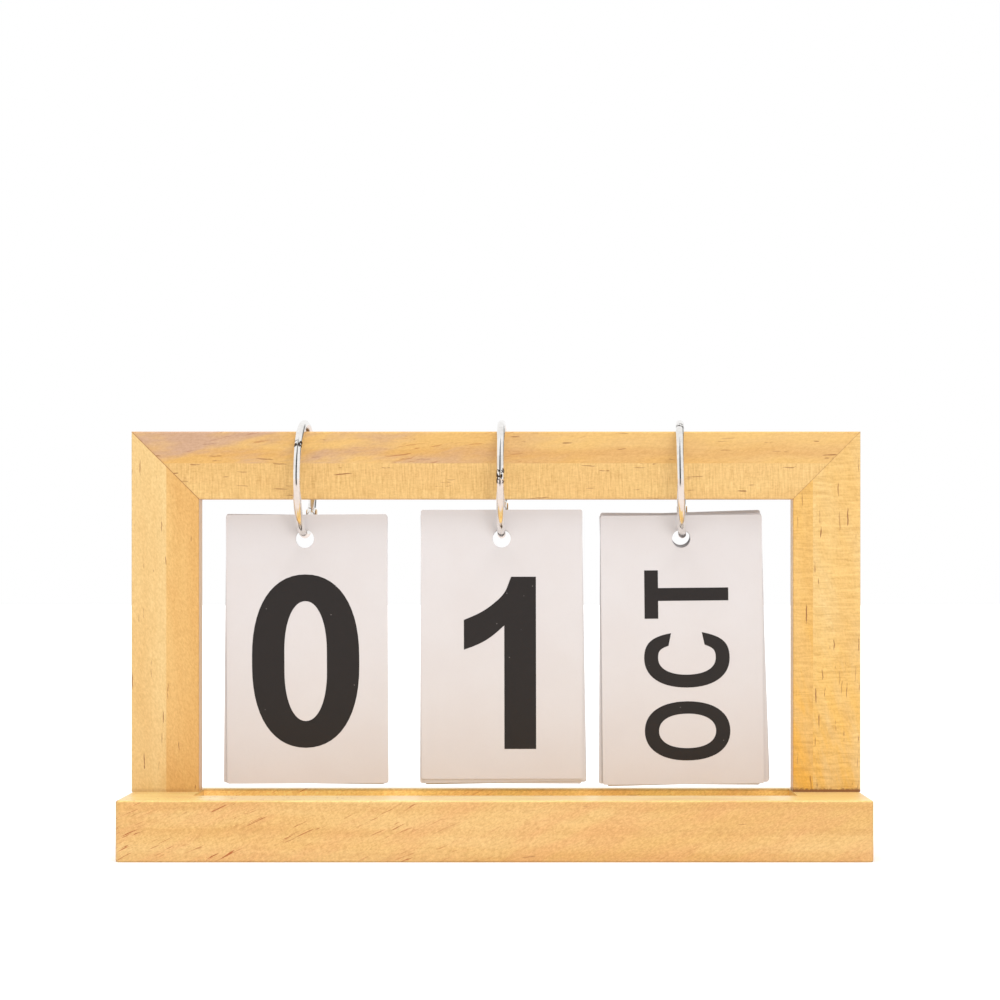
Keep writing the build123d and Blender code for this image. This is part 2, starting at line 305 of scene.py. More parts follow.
present = sum_of(pine, "LESS_THAN", chosen.outputs[0], given["Flecks"])
fleck = sum_of(pine, "MULTIPLY", fleck, present)
fleck = sum_of(pine, "MULTIPLY", fleck, sum_of(pine, "MULTIPLY_ADD", chosen.outputs[2], 0.6, 0.35))
tone = blend(pine, fleck, tone, given["Fleck Brown"])

made = put(pine, "NodeGroupOutput")
pine.links.new(tone, made.inputs["Color"])
pine.links.new(sum_of(pine, "MULTIPLY_ADD", fibre, 0.16, 0.26), made.inputs["Roughness"])
pine.links.new(sum_of(pine, "SUBTRACT", sum_of(pine, "MULTIPLY", fibre, 0.6), fleck), made.inputs["Height"])

# Dirt and glue darken the wood in a thin ragged line in the mitres, and the same kind of line where an
# upright stands on the board is a painted shadow.
glue_line_width = 0.00024
# The foot line is a painted shadow where an upright stands on the board.
foot_shadow_width = 0.0013
rag_size = (0.0012, 0.0012, 0.0012)
glue_and_shadow, given = new_group(
    "glue_and_shadow_line",
    [("Distance", "Float", 1.0), ("Place", "Vector", None), ("Width", "Float", glue_line_width)],
    [("Mask", "Float")])
ragged = cloud(glue_and_shadow, stretched(glue_and_shadow, given["Place"], rag_size), 2.0, 0.6)
edge = sum_of(glue_and_shadow, "MULTIPLY", given["Width"], sum_of(glue_and_shadow, "MULTIPLY_ADD", ragged, 1.6, 0.2))
near = sum_of(glue_and_shadow, "DIVIDE", sum_of(glue_and_shadow, "ABSOLUTE", given["Distance"]), edge)
made = put(glue_and_shadow, "NodeGroupOutput")
glue_and_shadow.links.new(ramp_between(glue_and_shadow, near, 0.5, 1.3, 1.0, 0.0), made.inputs["Mask"])

# The line in the right mitre is fainter than the one in the left.
mitre_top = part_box("top_rail_upper_strip")[1][2]
mitre_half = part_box("top_rail_upper_strip")[1][0]
board_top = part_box("base_board")[1][2]
right_mitre_share = 0.55

# The floor and back wall of the tray groove are painted with light and are the palest, and the board's top is
# painted lighter than its sides. Depths are below the board's top, and reaches are in front of the back wall.
groove_floor_painted_light = (1.50, 1.68, 1.60, 1)
groove_wall_painted_light = (1.66, 1.98, 1.96, 1)
top_painted_light = (1.12, 1.33, 1.40, 1)
lip_depths = (0.0011, 0.0003)
top_depths = (0.0009, 0.0001)
wall_reaches = (0.004, 0.0025)
mitre_brown = (0.27, 0.11, 0.04, 1)
# The colour of the painted shadow at an upright's foot.
foot_shadow_brown = (0.22, 0.09, 0.03, 1)


def draw_line(tree, colour, place, distance, strength, brown, width=glue_line_width):
    """Darkens the wood along a joint, given how far each point is from it: a glue line in a mitre, and a
    painted shadow where an upright stands on the board.
    """
    line = put(tree, "ShaderNodeGroup", {"Width": width}, node_tree=glue_and_shadow)
    tree.links.new(distance, line.inputs["Distance"])
    tree.links.new(place, line.inputs["Place"])
    return blend(tree, sum_of(tree, "MULTIPLY", line.outputs[0], strength), colour, brown)


def paint_tray_light(tree, colour, where, half_length, front, back):
    """Paints light on the board's top, and in the groove between its front, its back and its two ends."""
    inside = sum_of(tree, "LESS_THAN", sum_of(tree, "ABSOLUTE", where["X"]), half_length)
    inside = sum_of(tree, "MULTIPLY", inside, sum_of(tree, "GREATER_THAN", where["Y"], front))
    inside = sum_of(tree, "MULTIPLY", inside, sum_of(tree, "LESS_THAN", where["Y"], back))
    lip_low, lip_high = (board_top - depth for depth in lip_depths)
    inside = sum_of(tree, "MULTIPLY", inside, ramp_between(tree, where["Z"], lip_low, lip_high, 1.0, 0.0))
    inside = sum_of(tree, "MULTIPLY", inside, sum_of(tree, "GREATER_THAN", where["Z"], board_top / 2))
    back_wall = ramp_between(tree, where["Y"], *(back - reach for reach in wall_reaches))
    lift = blend(tree, back_wall, groove_floor_painted_light, groove_wall_painted_light)
    lit_groove = blend(tree, 1.0, colour, lift, "MULTIPLY")
    top = ramp_between(tree, where["Z"], *(board_top - depth for depth in top_depths))
    colour = blend(tree, top, colour, blend(tree, 1.0, colour, top_painted_light, "MULTIPLY"))
    return blend(tree, inside, colour, lit_groove)


def pine_material(name, pale, honey, flush, shift, upright=False, mitre=0.0, foot=0.0, tray=None, fade=(),
                  **amounts):
    """Lacquered pine for one strip: the shift moves it to its own part of the figure, and each fade
    runs one amount from a value to another between two places along an axis."""
    material = bpy.data.materials.new(name)
    material.use_nodes = True
    tree = material.node_tree
    place = put(tree, "ShaderNodeTexCoord").outputs["Object"]
    turn = (0.0, math.pi / 2, 0.0) if upright else (0.0, 0.0, 0.0)
    lie = {"Vector": place, "Rotation": turn, "Location": shift}
    along = put(tree, "ShaderNodeMapping", lie).outputs[0]
    figure = put(tree, "ShaderNodeGroup", node_tree=pine)
    tree.links.new(along, figure.inputs["Place"])
    for socket, colour in (("Pale", pale), ("Honey", honey), ("Flush", flush)):
        figure.inputs[socket].default_value = (*colour, 1.0)
    for socket, amount in amounts.items():
        figure.inputs[socket.replace("_", " ").title()].default_value = amount
    where = put(tree, "ShaderNodeSeparateXYZ", {0: place}).outputs
    for socket, axis, low, high, at_low, at_high in fade:
        tree.links.new(ramp_between(tree, where[axis], low, high, at_low, at_high), figure.inputs[socket])
    colour = figure.outputs["Color"]
    if mitre:
        inward = sum_of(tree, "SUBTRACT", where["Z"], sum_of(tree, "ABSOLUTE", where["X"]))
        distance = sum_of(tree, "SUBTRACT", inward, mitre_top - mitre_half)
        strength = ramp_between(tree, where["X"], -0.02, 0.02, mitre, mitre * right_mitre_share)
        colour = draw_line(tree, colour, place, distance, strength, mitre_brown)
    # A painted shadow in a thin line where the upright stands on the board.
    if foot:
        distance = sum_of(tree, "SUBTRACT", where["Z"], board_top)
        colour = draw_line(tree, colour, place, distance, foot, foot_shadow_brown, foot_shadow_width)
    # Painted light on the board's top and in its tray groove.
    if tray:
        colour = paint_tray_light(tree, colour, where, *tray)
    finish = tree.nodes["Principled BSDF"]
    tree.links.new(colour, finish.inputs["Base Color"])
    tree.links.new(figure.outputs["Roughness"], finish.inputs["Roughness"])
    pores = {"Height": figure.outputs["Height"], "Strength": 0.25, "Distance": 0.00015}
    tree.links.new(put(tree, "ShaderNodeBump", pores).outputs[0], finish.inputs["Normal"])
    return material


def finish_node(name, material):
    """Gives a part that is already the right shape its own finish."""
    nodes[name].data.materials.clear()
    nodes[name].data.materials.append(material)


pale_pine = (0.612, 0.387, 0.149)
honey_pine = (0.575, 0.338, 0.109)
tray_half_length = 0.118
tray_front = -0.014
tray_back = 0.037
flush_pine = (0.575, 0.29, 0.11)
finish_node("base_board", pine_material(
    "board_pine", pale_pine, honey_pine, flush_pine, (0.31, 0.02, 0.04),
    tray=(tray_half_length, tray_front, tray_back),
    flush_amount=0.5, fibre=0.3, speckle=0.8, streak_slope=0.44, flecks=0.03, rings=0.3,
    fade=(("Streaks", "X", -0.055, 0.02, 1.0, 0.12), ("Rays", "X", -0.08, 0.02, 0.45, 0.15))))

# ---- frame --------------------------------------------------------------------------------------
# Three lengths of pine, each glued up from two strips edge to edge, mitred at the top corners and
# butted on the board. Every strip is from another stick, so each has its own colour and figure.
finish_node("left_upright_outer_strip", pine_material(
    "left_outer_pine", (0.66, 0.458, 0.200), (0.63, 0.410, 0.163), (0.60, 0.362, 0.13), (0.11, 0.4, 0.23),
    upright=True, mitre=0.75, foot=0.25, flush_amount=0.25, fibre=0.35, speckle=0.6, flecks=0.50, rings=0.1))
finish_node("left_upright_inner_strip", pine_material(
    "left_inner_pine", (0.628, 0.383, 0.135), (0.60, 0.346, 0.111), (0.58, 0.314, 0.097), (0.57, 0.1, 0.5),
    upright=True, mitre=0.75, foot=0.25, flush_amount=0.5, fibre=0.3, speckle=0.6, flecks=0.26, rings=0.1))
finish_node("right_upright_inner_strip", pine_material(
    "right_inner_pine", (0.645, 0.403, 0.136), (0.61, 0.357, 0.104), (0.69, 0.370, 0.056), (0.83, 0.7, 0.12),
    upright=True, mitre=0.75, foot=1.0, fibre=0.3, speckle=0.45, ripple=0.8, flecks=0.55, rings=0.1,
    fade=(("Flush Amount", "Z", 0.03, 0.10, 0.95, 0.25),)))
finish_node("right_upright_outer_strip", pine_material(
    "right_outer_pine", (0.652, 0.438, 0.177), (0.627, 0.392, 0.139), (0.67, 0.382, 0.079), (0.21, 0.9, 0.31),
    upright=True, mitre=0.75, foot=1.0, fibre=0.3, speckle=0.45, ripple=0.9, flecks=0.75, rings=0.1,
    fade=(("Flush Amount", "Z", 0.03, 0.10, 0.9, 0.2),)))
finish_node("top_rail_upper_strip", pine_material(
    "rail_upper_pine", (0.645, 0.405, 0.140), (0.60, 0.342, 0.104), (0.470, 0.290, 0.190), (0.47, 0.3, 0.77),
    mitre=0.75, fibre=0.5, speckle=0.45, streak_slope=0.17, flecks=0.42, rings=0.3,
    fade=(("Flush Amount", "X", -0.08, 0.05, 0.95, 0.15), ("Streaks", "X", -0.03, 0.05, 0.6, 0.1))))
finish_node("top_rail_lower_strip", pine_material(
    "rail_lower_pine", (0.640, 0.416, 0.158), (0.605, 0.374, 0.136), (0.59, 0.340, 0.125), (0.69, 0.6, 0.19),
    mitre=0.75, flush_amount=0.3, fibre=0.5, speckle=0.5, rays=1.25, streak_slope=0.02, flecks=0.45,
    rings=0.1))

# ---- screws and corner nails --------------------------------------------------------------------
# Four zinc-plated countersunk screws come up through the board into the uprights, and four wavy
# steel nails are pressed across the mitres from behind.
blotch_size = (0.004, 0.004, 0.004)
scratch_size = (0.0012, 0.0002, 0.0004)
scuff_size = (0.0011, 0.0011, 0.0013)
scuff_black = (0.075, 0.055, 0.045, 1)
metal_marks, given = new_group(
    "metal_marks",
    [("Place", "Vector", None), ("Bright", "Color", None), ("Dull", "Color", None)],
    [("Color", "Color"), ("Roughness", "Float"), ("Height", "Float")])
blotch = cloud(metal_marks, stretched(metal_marks, given["Place"], blotch_size), 4.0, 0.6)
scratch = cloud(metal_marks, stretched(metal_marks, given["Place"], scratch_size, 3.0), 3.0, 0.6)
plate = blend(metal_marks, ramp_between(metal_marks, blotch, 0.35, 0.75), given["Bright"], given["Dull"])
made = put(metal_marks, "NodeGroupOutput")
metal_marks.links.new(plate, made.inputs["Color"])
metal_marks.links.new(ramp_between(metal_marks, blotch, 0.3, 0.8, 0.0, 1.0), made.inputs["Roughness"])
metal_marks.links.new(scratch, made.inputs["Height"])


def metal_material(name, bright, dull, smooth, rough, marks, snap=None, scuffed=0.0):
    """Metal, duller in blotches and finely marked, with dark scuffs out to a distance from a snap."""
    material = bpy.data.materials.new(name)
    material.use_nodes = True
    tree = material.node_tree
    wear = put(tree, "ShaderNodeGroup", node_tree=metal_marks)
    tree.links.new(put(tree, "ShaderNodeTexCoord").outputs["Object"], wear.inputs["Place"])
    wear.inputs["Bright"].default_value = (*bright, 1.0)
    wear.inputs["Dull"].default_value = (*dull, 1.0)
    finish = tree.nodes["Principled BSDF"]
    finish.inputs["Metallic"].default_value = 1.0
    colour = wear.outputs["Color"]
    if snap is not None:
        place = put(tree, "ShaderNodeTexCoord").outputs["Object"]
        away = put(tree, "ShaderNodeVectorMath", {0: place, 1: snap}, operation="DISTANCE").outputs["Value"]
        scuffs = ramp_between(tree, cloud(tree, stretched(tree, place, scuff_size, 11.0), 1.0), 0.46, 0.54)
        near_snap = ramp_between(tree, away, scuffed * 0.8, scuffed, 1.0, 0.0)
        colour = blend(tree, sum_of(tree, "MULTIPLY", scuffs, near_snap), colour, scuff_black)
    tree.links.new(colour, finish.inputs["Base Color"])
    spread = {"Value": wear.outputs["Roughness"], "To Min": smooth, "To Max": rough}
    tree.links.new(put(tree, "ShaderNodeMapRange", spread).outputs[0], finish.inputs["Roughness"])
    scratches = {"Height": wear.outputs["Height"], "Strength": marks, "Distance": 0.00004}
    tree.links.new(put(tree, "ShaderNodeBump", scratches).outputs[0], finish.inputs["Normal"])
    return material


zinc_bright = (0.72, 0.70, 0.62)
zinc_dull = (0.52, 0.50, 0.42)
steel_bright = (0.45, 0.44, 0.43)
steel_dull = (0.28, 0.27, 0.26)
zinc = metal_material("zinc_plate", zinc_bright, zinc_dull, smooth=0.25, rough=0.45, marks=0.4)
steel = metal_material("steel_nail", steel_bright, steel_dull, smooth=0.35, rough=0.6, marks=0.6)
finish_node("base_screws", zinc)
finish_node("corner_v_nails", steel)

# ---- rings --------------------------------------------------------------------------------------
# Three hinged binder rings of bright nickel-plated wire. Each half ends in a flattened knuckle on a
# brass rivet, and the free ends lap and snap together.
wire_radius = 0.0015
nickel_bright = (0.90, 0.885, 0.865)
nickel_dull = (0.78, 0.76, 0.73)
brass_bright = (0.80, 0.55, 0.22)
brass_dull = (0.62, 0.38, 0.14)
# Where each ring snaps shut, in degrees from its lowest point up its front, and how far the scuffs reach.
snaps = {"tens": (126, 0.0022), "units": (92, 0.0034), "month": (155, 0.0022)}
brass = metal_material("rivet_brass", brass_bright, brass_dull, smooth=0.16, rough=0.32, marks=0.3)
for station, (degrees, scuffed) in snaps.items():
    halves = [station + "_ring_carrying_half", station + "_ring_opening_half"]
    corners = [Vector(corner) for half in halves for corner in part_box(half)]
    low = Vector([min(corner[axis] for corner in corners) for axis in range(3)])
    high = Vector([max(corner[axis] for corner in corners) for axis in range(3)])
    half_width = (high.x - low.x) / 2 - wire_radius
    half_height = (high.z - low.z) / 2 - wire_radius
    forward = math.sin(math.radians(degrees))
    downward = math.cos(math.radians(degrees))
    from_centre = Vector((-half_width * forward, -half_height * forward, -half_height * downward))
    snap = (low + high) / 2 + from_centre
    nickel = metal_material(station + "_nickel", nickel_bright, nickel_dull, smooth=0.10, rough=0.22,
                            marks=0.12, snap=snap, scuffed=scuffed)
    for half in halves:
        finish_node(half, nickel)
    finish_node(station + "_ring_rivet", brass)

# ---- cards --------------------------------------------------------------------------------------
# Punched white cards: four for the tens, ten for the units and twelve for the months. They are die
# cut from stiff uncoated board, whose faces are faintly cloudy with fine fibres.
cloud_size = (0.022, 0.022, 0.022)
board_fibre_size = (0.0007, 0.0007, 0.0011)
card_white = (0.588, 0.556, 0.556, 1)
cloudy_white = (0.575, 0.538, 0.535, 1)
fibre_white = (0.540, 0.500, 0.492, 1)
board = bpy.data.materials.new("white_board")
board.use_nodes = True
tree = board.node_tree
place = put(tree, "ShaderNodeTexCoord").outputs["Object"]
cloudy = cloud(tree, stretched(tree, place, cloud_size), 3.0, 0.55)
fibres = cloud(tree, stretched(tree, place, board_fibre_size, 2.0), 3.0, 0.65)
white = blend(tree, ramp_between(tree, cloudy, 0.3, 0.7), card_white, cloudy_white)
raw_fibre = sum_of(tree, "MULTIPLY", ramp_between(tree, fibres, 0.5, 0.8), 0.25)
white = blend(tree, raw_fibre, white, fibre_white)
finish = tree.nodes["Principled BSDF"]
tree.links.new(white, finish.inputs["Base Color"])
tree.links.new(ramp_between(tree, cloudy, 0.3, 0.7, 0.52, 0.60), finish.inputs["Roughness"])
bump = put(tree, "ShaderNodeBump", {"Height": fibres, "Strength": 0.15, "Distance": 0.00006})
tree.links.new(bump.outputs[0], finish.inputs["Normal"])
card_names = {
    "tens": ["0", "1", "2", "3"],
    "units": ["1", "2", "3", "4", "5", "6", "7", "8", "9", "0"],
    "month": ["10", "11", "12", "01", "02", "03", "04", "05", "06", "07", "08", "09"],
}
for station, cards in card_names.items():
    for card in cards:
        finish_node(f"{station}_card_{card}", board)

# ---- print --------------------------------------------------------------------------------------
# Black screen ink on the front of every card: one tall numeral, or a month's three letters turned
# to read upwards. Each shape is drawn as an outline in millimetres and is a thin film on the card.
grit_size = (0.0006, 0.0006, 0.0006)
pinhole_spacing = (0.004, 0.004, 0.004)
ink_black = (0.006, 0.005, 0.005, 1)
thin_ink = (0.019, 0.015, 0.015, 1)
bare_card = (0.5, 0.46, 0.45, 1)
ink = bpy.data.materials.new("black_ink")
ink.use_nodes = True
tree = ink.node_tree
place = put(tree, "ShaderNodeTexCoord").outputs["Object"]
grit = cloud(tree, stretched(tree, place, grit_size), 3.0, 0.7)
pinhole_place = stretched(tree, place, pinhole_spacing)
pinholes = put(tree, "ShaderNodeTexVoronoi", {"Vector": pinhole_place, "Scale": 1.0})
pinhole = sum_of(tree, "LESS_THAN", pinholes.outputs["Distance"], 0.05)
black = blend(tree, grit, ink_black, thin_ink)
black = blend(tree, sum_of(tree, "MULTIPLY", pinhole, 0.25), black, bare_card)
finish = tree.nodes["Principled BSDF"]
tree.links.new(black, finish.inputs["Base Color"])
tree.links.new(ramp_between(tree, grit, 0.3, 0.7, 0.48, 0.62), finish.inputs["Roughness"])
ink_bump = put(tree, "ShaderNodeBump", {"Height": grit, "Strength": 0.5, "Distance": 0.00006})
tree.links.new(ink_bump.outputs[0], finish.inputs["Normal"])

# A corner is its place to the right and up, from a numeral's middle or a letter's lower left corner. A
# smooth point adds one slope in degrees, and a curved corner two, for the curve that arrives and the
# curve that leaves, where None is straight.
numeral_six = [[(18.6, 14.4, None, 90), (1.4, 32.25, 0), (-19.9, -1.4, 90), (0.4, -32.25, 0),
                (20.0, -11.4, 90), (3.0, 9.6, 0), (-8.4, 3.4, 40, 88), (1.4, 22.6, 0),
                (7.5, 14.4, 90, None)],
               [(0.3, -0.2, 0), (-7.9, -11.4, 90), (0.3, -22.6, 0), (8.4, -11.4, 90)]]
numerals = {
    "0": [[(0, 32.25, 0), (19.95, 2, 90), (19.95, -2, 90), (0, -32.25, 0), (-19.95, -2, 90),
           (-19.95, 2, 90)],
          [(0, 22.3, 0), (7.9, 4, 90), (7.9, -4, 90), (0, -22.3, 0), (-7.9, -4, 90), (-7.9, 4, 90)]],
    "1": [[(13.4, 32.0), (13.4, -32.0), (1.6, -32.0), (1.6, 13.9, None, 43), (-13.4, 4.9, 19, None),
           (-13.4, 16.0, None, 22), (-1.0, 23.2, 41), (4.2, 32.0, 67, None)]],
    "2": [[(-18.6, 11.5, None, 90), (0.5, 32.25, 0), (19.3, 13.2, 90), (8.5, -8.2, 48),
           (-3.6, -20.5, 55, None), (19.6, -20.5), (19.6, -32.0), (-20.0, -32.0, None, 80),
           (-6.0, -9.5, 44), (7.3, 12.6, 90), (0, 22.0, 0), (-7.2, 10.4, 90, None)]],
    "3": [[(-18.5, 12.8, None, 90), (-0.2, 32.25, 0), (18.2, 15.2, 90), (10.4, 1.8, 30, -30),
           (19.9, -13.6, 90), (-0.2, -32.25, 0), (-19.9, -11.9, 90, None), (-8.6, -10.4, None, 90),
           (-0.4, -22.6, 0), (8.2, -13.0, 90), (-1.4, -4.2, 0), (-4.6, -4.2), (-4.6, 5.0), (-1.5, 5.0, 0),
           (6.7, 13.6, 90), (-0.4, 22.8, 0), (-7.6, 12.0, 90, None)]],
    "4": [[(13.0, 32.0), (13.0, -7.2), (20.4, -7.2), (20.4, -17.8), (13.0, -17.8), (13.0, -32.0),
           (1.6, -32.0), (1.6, -17.8), (-20.4, -17.8), (-20.4, -6.6), (0.6, 32.0)],
          [(1.6, -7.2), (1.6, 16.5), (-10.6, -7.2)]],
    "5": [[(17.4, 32.0), (17.4, 21.2), (-6.2, 21.2), (-7.9, 9.0, None, 30), (2.2, 12.6, 0),
           (20.0, -10.2, 90), (-0.6, -32.25, 0), (-19.6, -13.4, 90, None), (-8.3, -12.3, None, 90),
           (-0.3, -22.6, 0), (8.4, -10.2, 90), (-0.2, 2.8, 0), (-8.4, -1.9, 50, None), (-18.4, -0.6),
           (-13.6, 32.0)]],
    "6": numeral_six,
    "7": [[(-19.4, 32.0), (19.4, 32.0), (19.4, 22.2, None, 52), (3.4, -32.0, 86, None),
           (-8.8, -32.0, None, 84), (7.0, 20.8, 50, None), (-19.4, 20.8)]],
    "8": [[(0, 32.25, 0), (18.6, 15.4, 90), (11.0, 2.0, 35, -35), (20.2, -13.2, 90), (0, -32.25, 0),
           (-20.2, -13.2, 90), (-11.0, 2.0, 35, -35), (-18.6, 15.4, 90)],
          [(0, 22.8, 0), (7.4, 14.6, 90), (0, 6.4, 0), (-7.4, 14.6, 90)],
          [(0, -3.6, 0), (8.7, -13.2, 90), (0, -22.8, 0), (-8.7, -13.2, 90)]],
    "9": [[(-point[0], -point[1], *point[2:]) for point in outline] for outline in numeral_six],
}
letters = {
    "A": [[(0, 0), (8.0, 31.2), (13.2, 31.2), (21.2, 0), (16.2, 0), (14.4, 7.6), (6.8, 7.6), (5.0, 0)],
          [(7.9, 12.4), (13.3, 12.4), (10.6, 24.6)]],
    "B": [[(0, 0), (0, 31.2), (9.8, 31.2, None, 0), (17.8, 23.4, 90), (13.4, 16.6, 30, -30),
           (19.4, 8.8, 90), (10.4, 0, 0, None)],
          [(4.7, 18.6), (9.4, 18.6, None, 0), (13.0, 22.5, 90), (9.4, 26.4, 0, None), (4.7, 26.4)],
          [(4.7, 4.8), (9.8, 4.8, None, 0), (14.5, 9.3, 90), (9.8, 13.8, 0, None), (4.7, 13.8)]],
    "C": [[(20.3, 21.4, None, 100), (11.0, 31.5, 0), (0, 15.6, 90), (11.0, -0.3, 0),
           (20.6, 10.0, 78, None), (15.9, 9.0, None, 70), (11.0, 4.9, 0), (4.8, 15.6, 90),
           (11.0, 26.3, 0), (15.6, 22.4, 110, None)]],
    "D": [[(0, 0), (0, 31.2), (8.6, 31.2, None, 0), (19.8, 15.6, 90), (8.6, 0, 0, None)],
          [(4.7, 5.0), (8.4, 5.0, None, 0), (15.0, 15.6, 90), (8.4, 26.2, 0, None), (4.7, 26.2)]],
    "E": [[(0, 0), (0, 31.2), (17.0, 31.2), (17.0, 26.2), (4.7, 26.2), (4.7, 18.6), (16.0, 18.6),
           (16.0, 13.6), (4.7, 13.6), (4.7, 5.0), (17.4, 5.0), (17.4, 0)]],
    "F": [[(0, 0), (0, 31.2), (16.4, 31.2), (16.4, 26.2), (4.7, 26.2), (4.7, 18.0), (15.0, 18.0),
           (15.0, 13.0), (4.7, 13.0), (4.7, 0)]],
    "G": [[(19.8, 22.0, None, 105), (11.0, 31.5, 0), (0, 15.6, 90), (11.0, -0.3, 0),
           (20.4, 4.6, 38, None), (20.4, 16.6), (11.2, 16.6), (11.2, 11.8), (15.9, 11.8),
           (15.9, 7.0, None, 40), (11.0, 4.9, 0), (4.8, 15.6, 90), (11.0, 26.3, 0),
           (15.3, 22.4, 110, None)]],
    "J": [[(9.6, 31.2), (14.3, 31.2), (14.3, 8.6, None, 90), (7.2, -0.3, 0), (0, 9.4, 90, None),
           (4.6, 9.8, None, 90), (7.2, 4.8, 0), (9.6, 9.0, 90, None)]],
    "L": [[(0, 0), (0, 31.2), (4.7, 31.2), (4.7, 5.0), (16.0, 5.0), (16.0, 0)]],
    "M": [[(0, 0), (0, 31.2), (6.6, 31.2), (12.0, 10.0), (17.4, 31.2), (24.0, 31.2), (24.0, 0), (19.4, 0),
           (19.4, 22.6), (14.1, 0), (9.9, 0), (4.6, 22.6), (4.6, 0)]],
    "N": [[(0, 0), (0, 31.2), (4.9, 31.2), (14.6, 11.4), (14.6, 31.2), (19.2, 31.2), (19.2, 0), (14.4, 0),
           (4.6, 19.8), (4.6, 0)]],
    "O": [[(11.0, 31.5, 0), (22.0, 15.6, 90), (11.0, -0.3, 0), (0, 15.6, 90)],
          [(11.0, 26.2, 0), (17.4, 15.6, 90), (11.0, 5.0, 0), (4.6, 15.6, 90)]],
    "P": [[(0, 0), (0, 31.2), (10.2, 31.2, None, 0), (18.4, 21.9, 90), (10.2, 12.6, 0, None), (4.7, 12.6),
           (4.7, 0)],
          [(4.7, 17.4), (9.8, 17.4, None, 0), (13.7, 21.9, 90), (9.8, 26.4, 0, None), (4.7, 26.4)]],
    "R": [[(0, 0), (0, 31.2), (10.6, 31.2, None, 0), (18.8, 22.4, 90), (13.4, 14.2, 30, None), (19.6, 0),
           (14.2, 0), (8.8, 13.6), (4.7, 13.6), (4.7, 0)],
          [(4.7, 18.2), (10.0, 18.2, None, 0), (14.1, 22.3, 90), (10.0, 26.4, 0, None), (4.7, 26.4)]],
    "S": [[(17.4, 22.2, None, 90), (9.2, 31.5, 0), (0.9, 22.8, 90), (9.0, 13.6, -20), (13.4, 8.8, 90),
           (9.2, 4.7, 0), (4.7, 9.6, 90, None), (0, 9.4, None, 90), (9.2, -0.3, 0), (18.2, 8.8, 90),
           (9.6, 18.2, -20), (5.6, 22.8, 90), (9.2, 26.4, 0), (12.8, 22.0, 90, None)]],
    "T": [[(0, 31.2), (18.0, 31.2), (18.0, 26.1), (11.4, 26.1), (11.4, 0), (6.6, 0), (6.6, 26.1),
           (0, 26.1)]],
    "U": [[(0, 31.2), (4.7, 31.2), (4.7, 10.5, None, 90), (9.2, 4.9, 0), (13.7, 10.5, 90, None),
           (13.7, 31.2), (18.4, 31.2), (18.4, 10.8, None, 90), (9.2, -0.3, 0), (0, 10.8, 90, None)]],
    "V": [[(0, 31.2), (5.0, 31.2), (10.4, 6.6), (15.8, 31.2), (20.8, 31.2), (13.0, 0), (7.8, 0)]],
    "Y": [[(0, 31.2), (5.2, 31.2), (10.2, 18.2), (15.2, 31.2), (20.4, 31.2), (12.6, 12.6), (12.6, 0),
           (7.8, 0), (7.8, 12.6)]],
}
month_words = {"01": "JAN", "02": "FEB", "03": "MAR", "04": "APR", "05": "MAY", "06": "JUN",
               "07": "JUL", "08": "AUG", "09": "SEP", "10": "OCT", "11": "NOV", "12": "DEC"}
letter_height = 31.2
letter_gap = 5.1
tens_shift = (-0.6, -4.5)
units_shift = (-0.7, -6.9)
month_shift = (1.7, -5.8)
gentle_fullness = 1 / 3
curve_fullness = 0.62
full_bend = math.radians(30)
steps_per_curve = 14
film_thickness = 0.03
film_clearance = 0.006
merge_distance = 0.000002
mm = 0.001


def handle(point, neighbour, slope):
    """A curve's handle along its slope, further out on a sharp bend than on a gentle one."""
    step = Vector((neighbour[0] - point[0], neighbour[1] - point[1]))
    if slope is None:
        return Vector(point[:2]) + step / 3
    along = Vector((math.cos(math.radians(slope)), math.sin(math.radians(slope))))
    bend = min(1.0, math.acos(min(1.0, abs(along.dot(step)) / step.length)) / full_bend)
    fullness = gentle_fullness + (curve_fullness - gentle_fullness) * bend
    return Vector(point[:2]) + along * along.dot(step) * fullness


def draw_outline(curve, outline, across=0.0):
    """Adds one closed outline to a flat curve, moved across by some millimetres."""
    spline = curve.splines.new("BEZIER")
    spline.bezier_points.add(len(outline) - 1)
    spline.use_cyclic_u = True
    spline.resolution_u = steps_per_curve
    for number, knot in enumerate(spline.bezier_points):
        point = outline[number]
        slopes = (*point[2:], *point[2:])[:2] if len(point) > 2 else (None, None)
        before = handle(point, outline[number - 1], slopes[0])
        after = handle(point, outline[(number + 1) % len(outline)], slopes[1])
        knot.handle_left_type = knot.handle_right_type = "FREE"
        for name, spot in (("co", point), ("handle_left", before), ("handle_right", after)):
            setattr(knot, name, ((spot[0] + across) * mm, spot[1] * mm, 0.0))


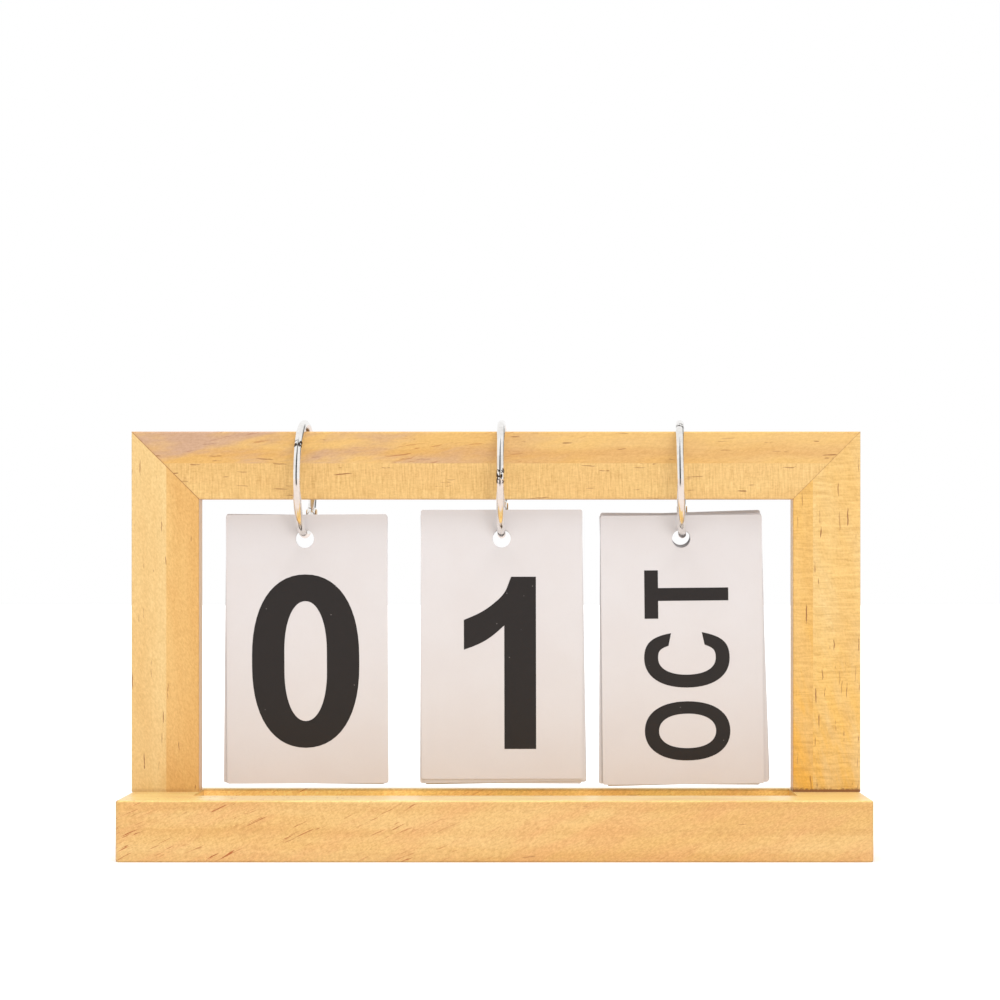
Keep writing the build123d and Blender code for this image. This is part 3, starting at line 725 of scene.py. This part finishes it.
def film(name, outlines):
    """A thin flat film of ink in the plane of X and Y, from outlines given with their offsets."""
    curve = bpy.data.curves.new(name, "CURVE")
    curve.dimensions = "2D"
    curve.fill_mode = "BOTH"
    curve.extrude = film_thickness / 2 * mm
    for outline, across in outlines:
        draw_outline(curve, outline, across)
    piece = bpy.data.objects.new(name, curve)
    bpy.context.collection.objects.link(piece)
    bpy.ops.object.select_all(action="DESELECT")
    piece.select_set(True)
    bpy.context.view_layer.objects.active = piece
    bpy.ops.object.convert(target="MESH")
    bpy.ops.object.mode_set(mode="EDIT")
    bpy.ops.mesh.select_all(action="SELECT")
    bpy.ops.mesh.remove_doubles(threshold=merge_distance)
    bpy.ops.mesh.normals_make_consistent(inside=False)
    bpy.ops.object.mode_set(mode="OBJECT")
    return bpy.context.object


def card_plane(node):
    """A card's middle on its front face, with its own right, up and outward directions."""
    faces = sorted(node.data.polygons, key=lambda face: -face.area)
    outward = next(face.normal for face in faces if face.normal.y < -0.9).copy()
    right = next(face.normal for face in faces if face.normal.x > 0.9).copy()
    up = outward.cross(right).normalized()
    spots = [vertex.co for vertex in node.data.vertices]
    middle = Vector()
    for direction, share in ((right, 0.5), (up, 0.5), (outward, 1.0)):
        reaches = [spot.dot(direction) for spot in spots]
        middle += direction * (min(reaches) * (1 - share) + max(reaches) * share)
    return middle, right, up, outward


def print_card(station, card, outlines, shift, turn=0.0):
    """Lays a film of ink on a card, shifted from the card's middle and turned on its face."""
    piece = film(f"{station}_print_{card}", outlines)
    middle, right, up, outward = card_plane(nodes[f"{station}_card_{card}"])
    middle = middle + outward * (film_thickness / 2 + film_clearance) * mm
    middle = middle + right * shift[0] * mm + up * shift[1] * mm
    facing = Matrix((right, up, outward)).transposed().to_4x4()
    piece.matrix_world = Matrix.Translation(middle) @ facing @ Matrix.Rotation(turn, 4, "Z")
    bpy.ops.object.transform_apply(location=True, rotation=True, scale=True)
    piece.data.materials.clear()
    piece.data.materials.append(ink)
    if card == card_names[station][0]:
        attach(piece, station + "_front_card")
    elif card == card_names[station][-1]:
        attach(piece, station + "_back_card")
    else:
        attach(piece, station + "_pack")


for card in card_names["tens"]:
    print_card("tens", card, [(outline, 0.0) for outline in numerals[card]], tens_shift)
for card in card_names["units"]:
    print_card("units", card, [(outline, 0.0) for outline in numerals[card]], units_shift)
for card in card_names["month"]:
    word = month_words[card]
    widths = [max(point[0] for point in letters[letter][0]) for letter in word]
    start = -(sum(widths) + letter_gap * (len(word) - 1)) / 2
    drawn = []
    for letter, width in zip(word, widths):
        for outline in letters[letter]:
            centred = [(point[0], point[1] - letter_height / 2, *point[2:]) for point in outline]
            drawn.append((centred, start))
        start += width + letter_gap
    print_card("month", card, drawn, month_shift, math.pi / 2)
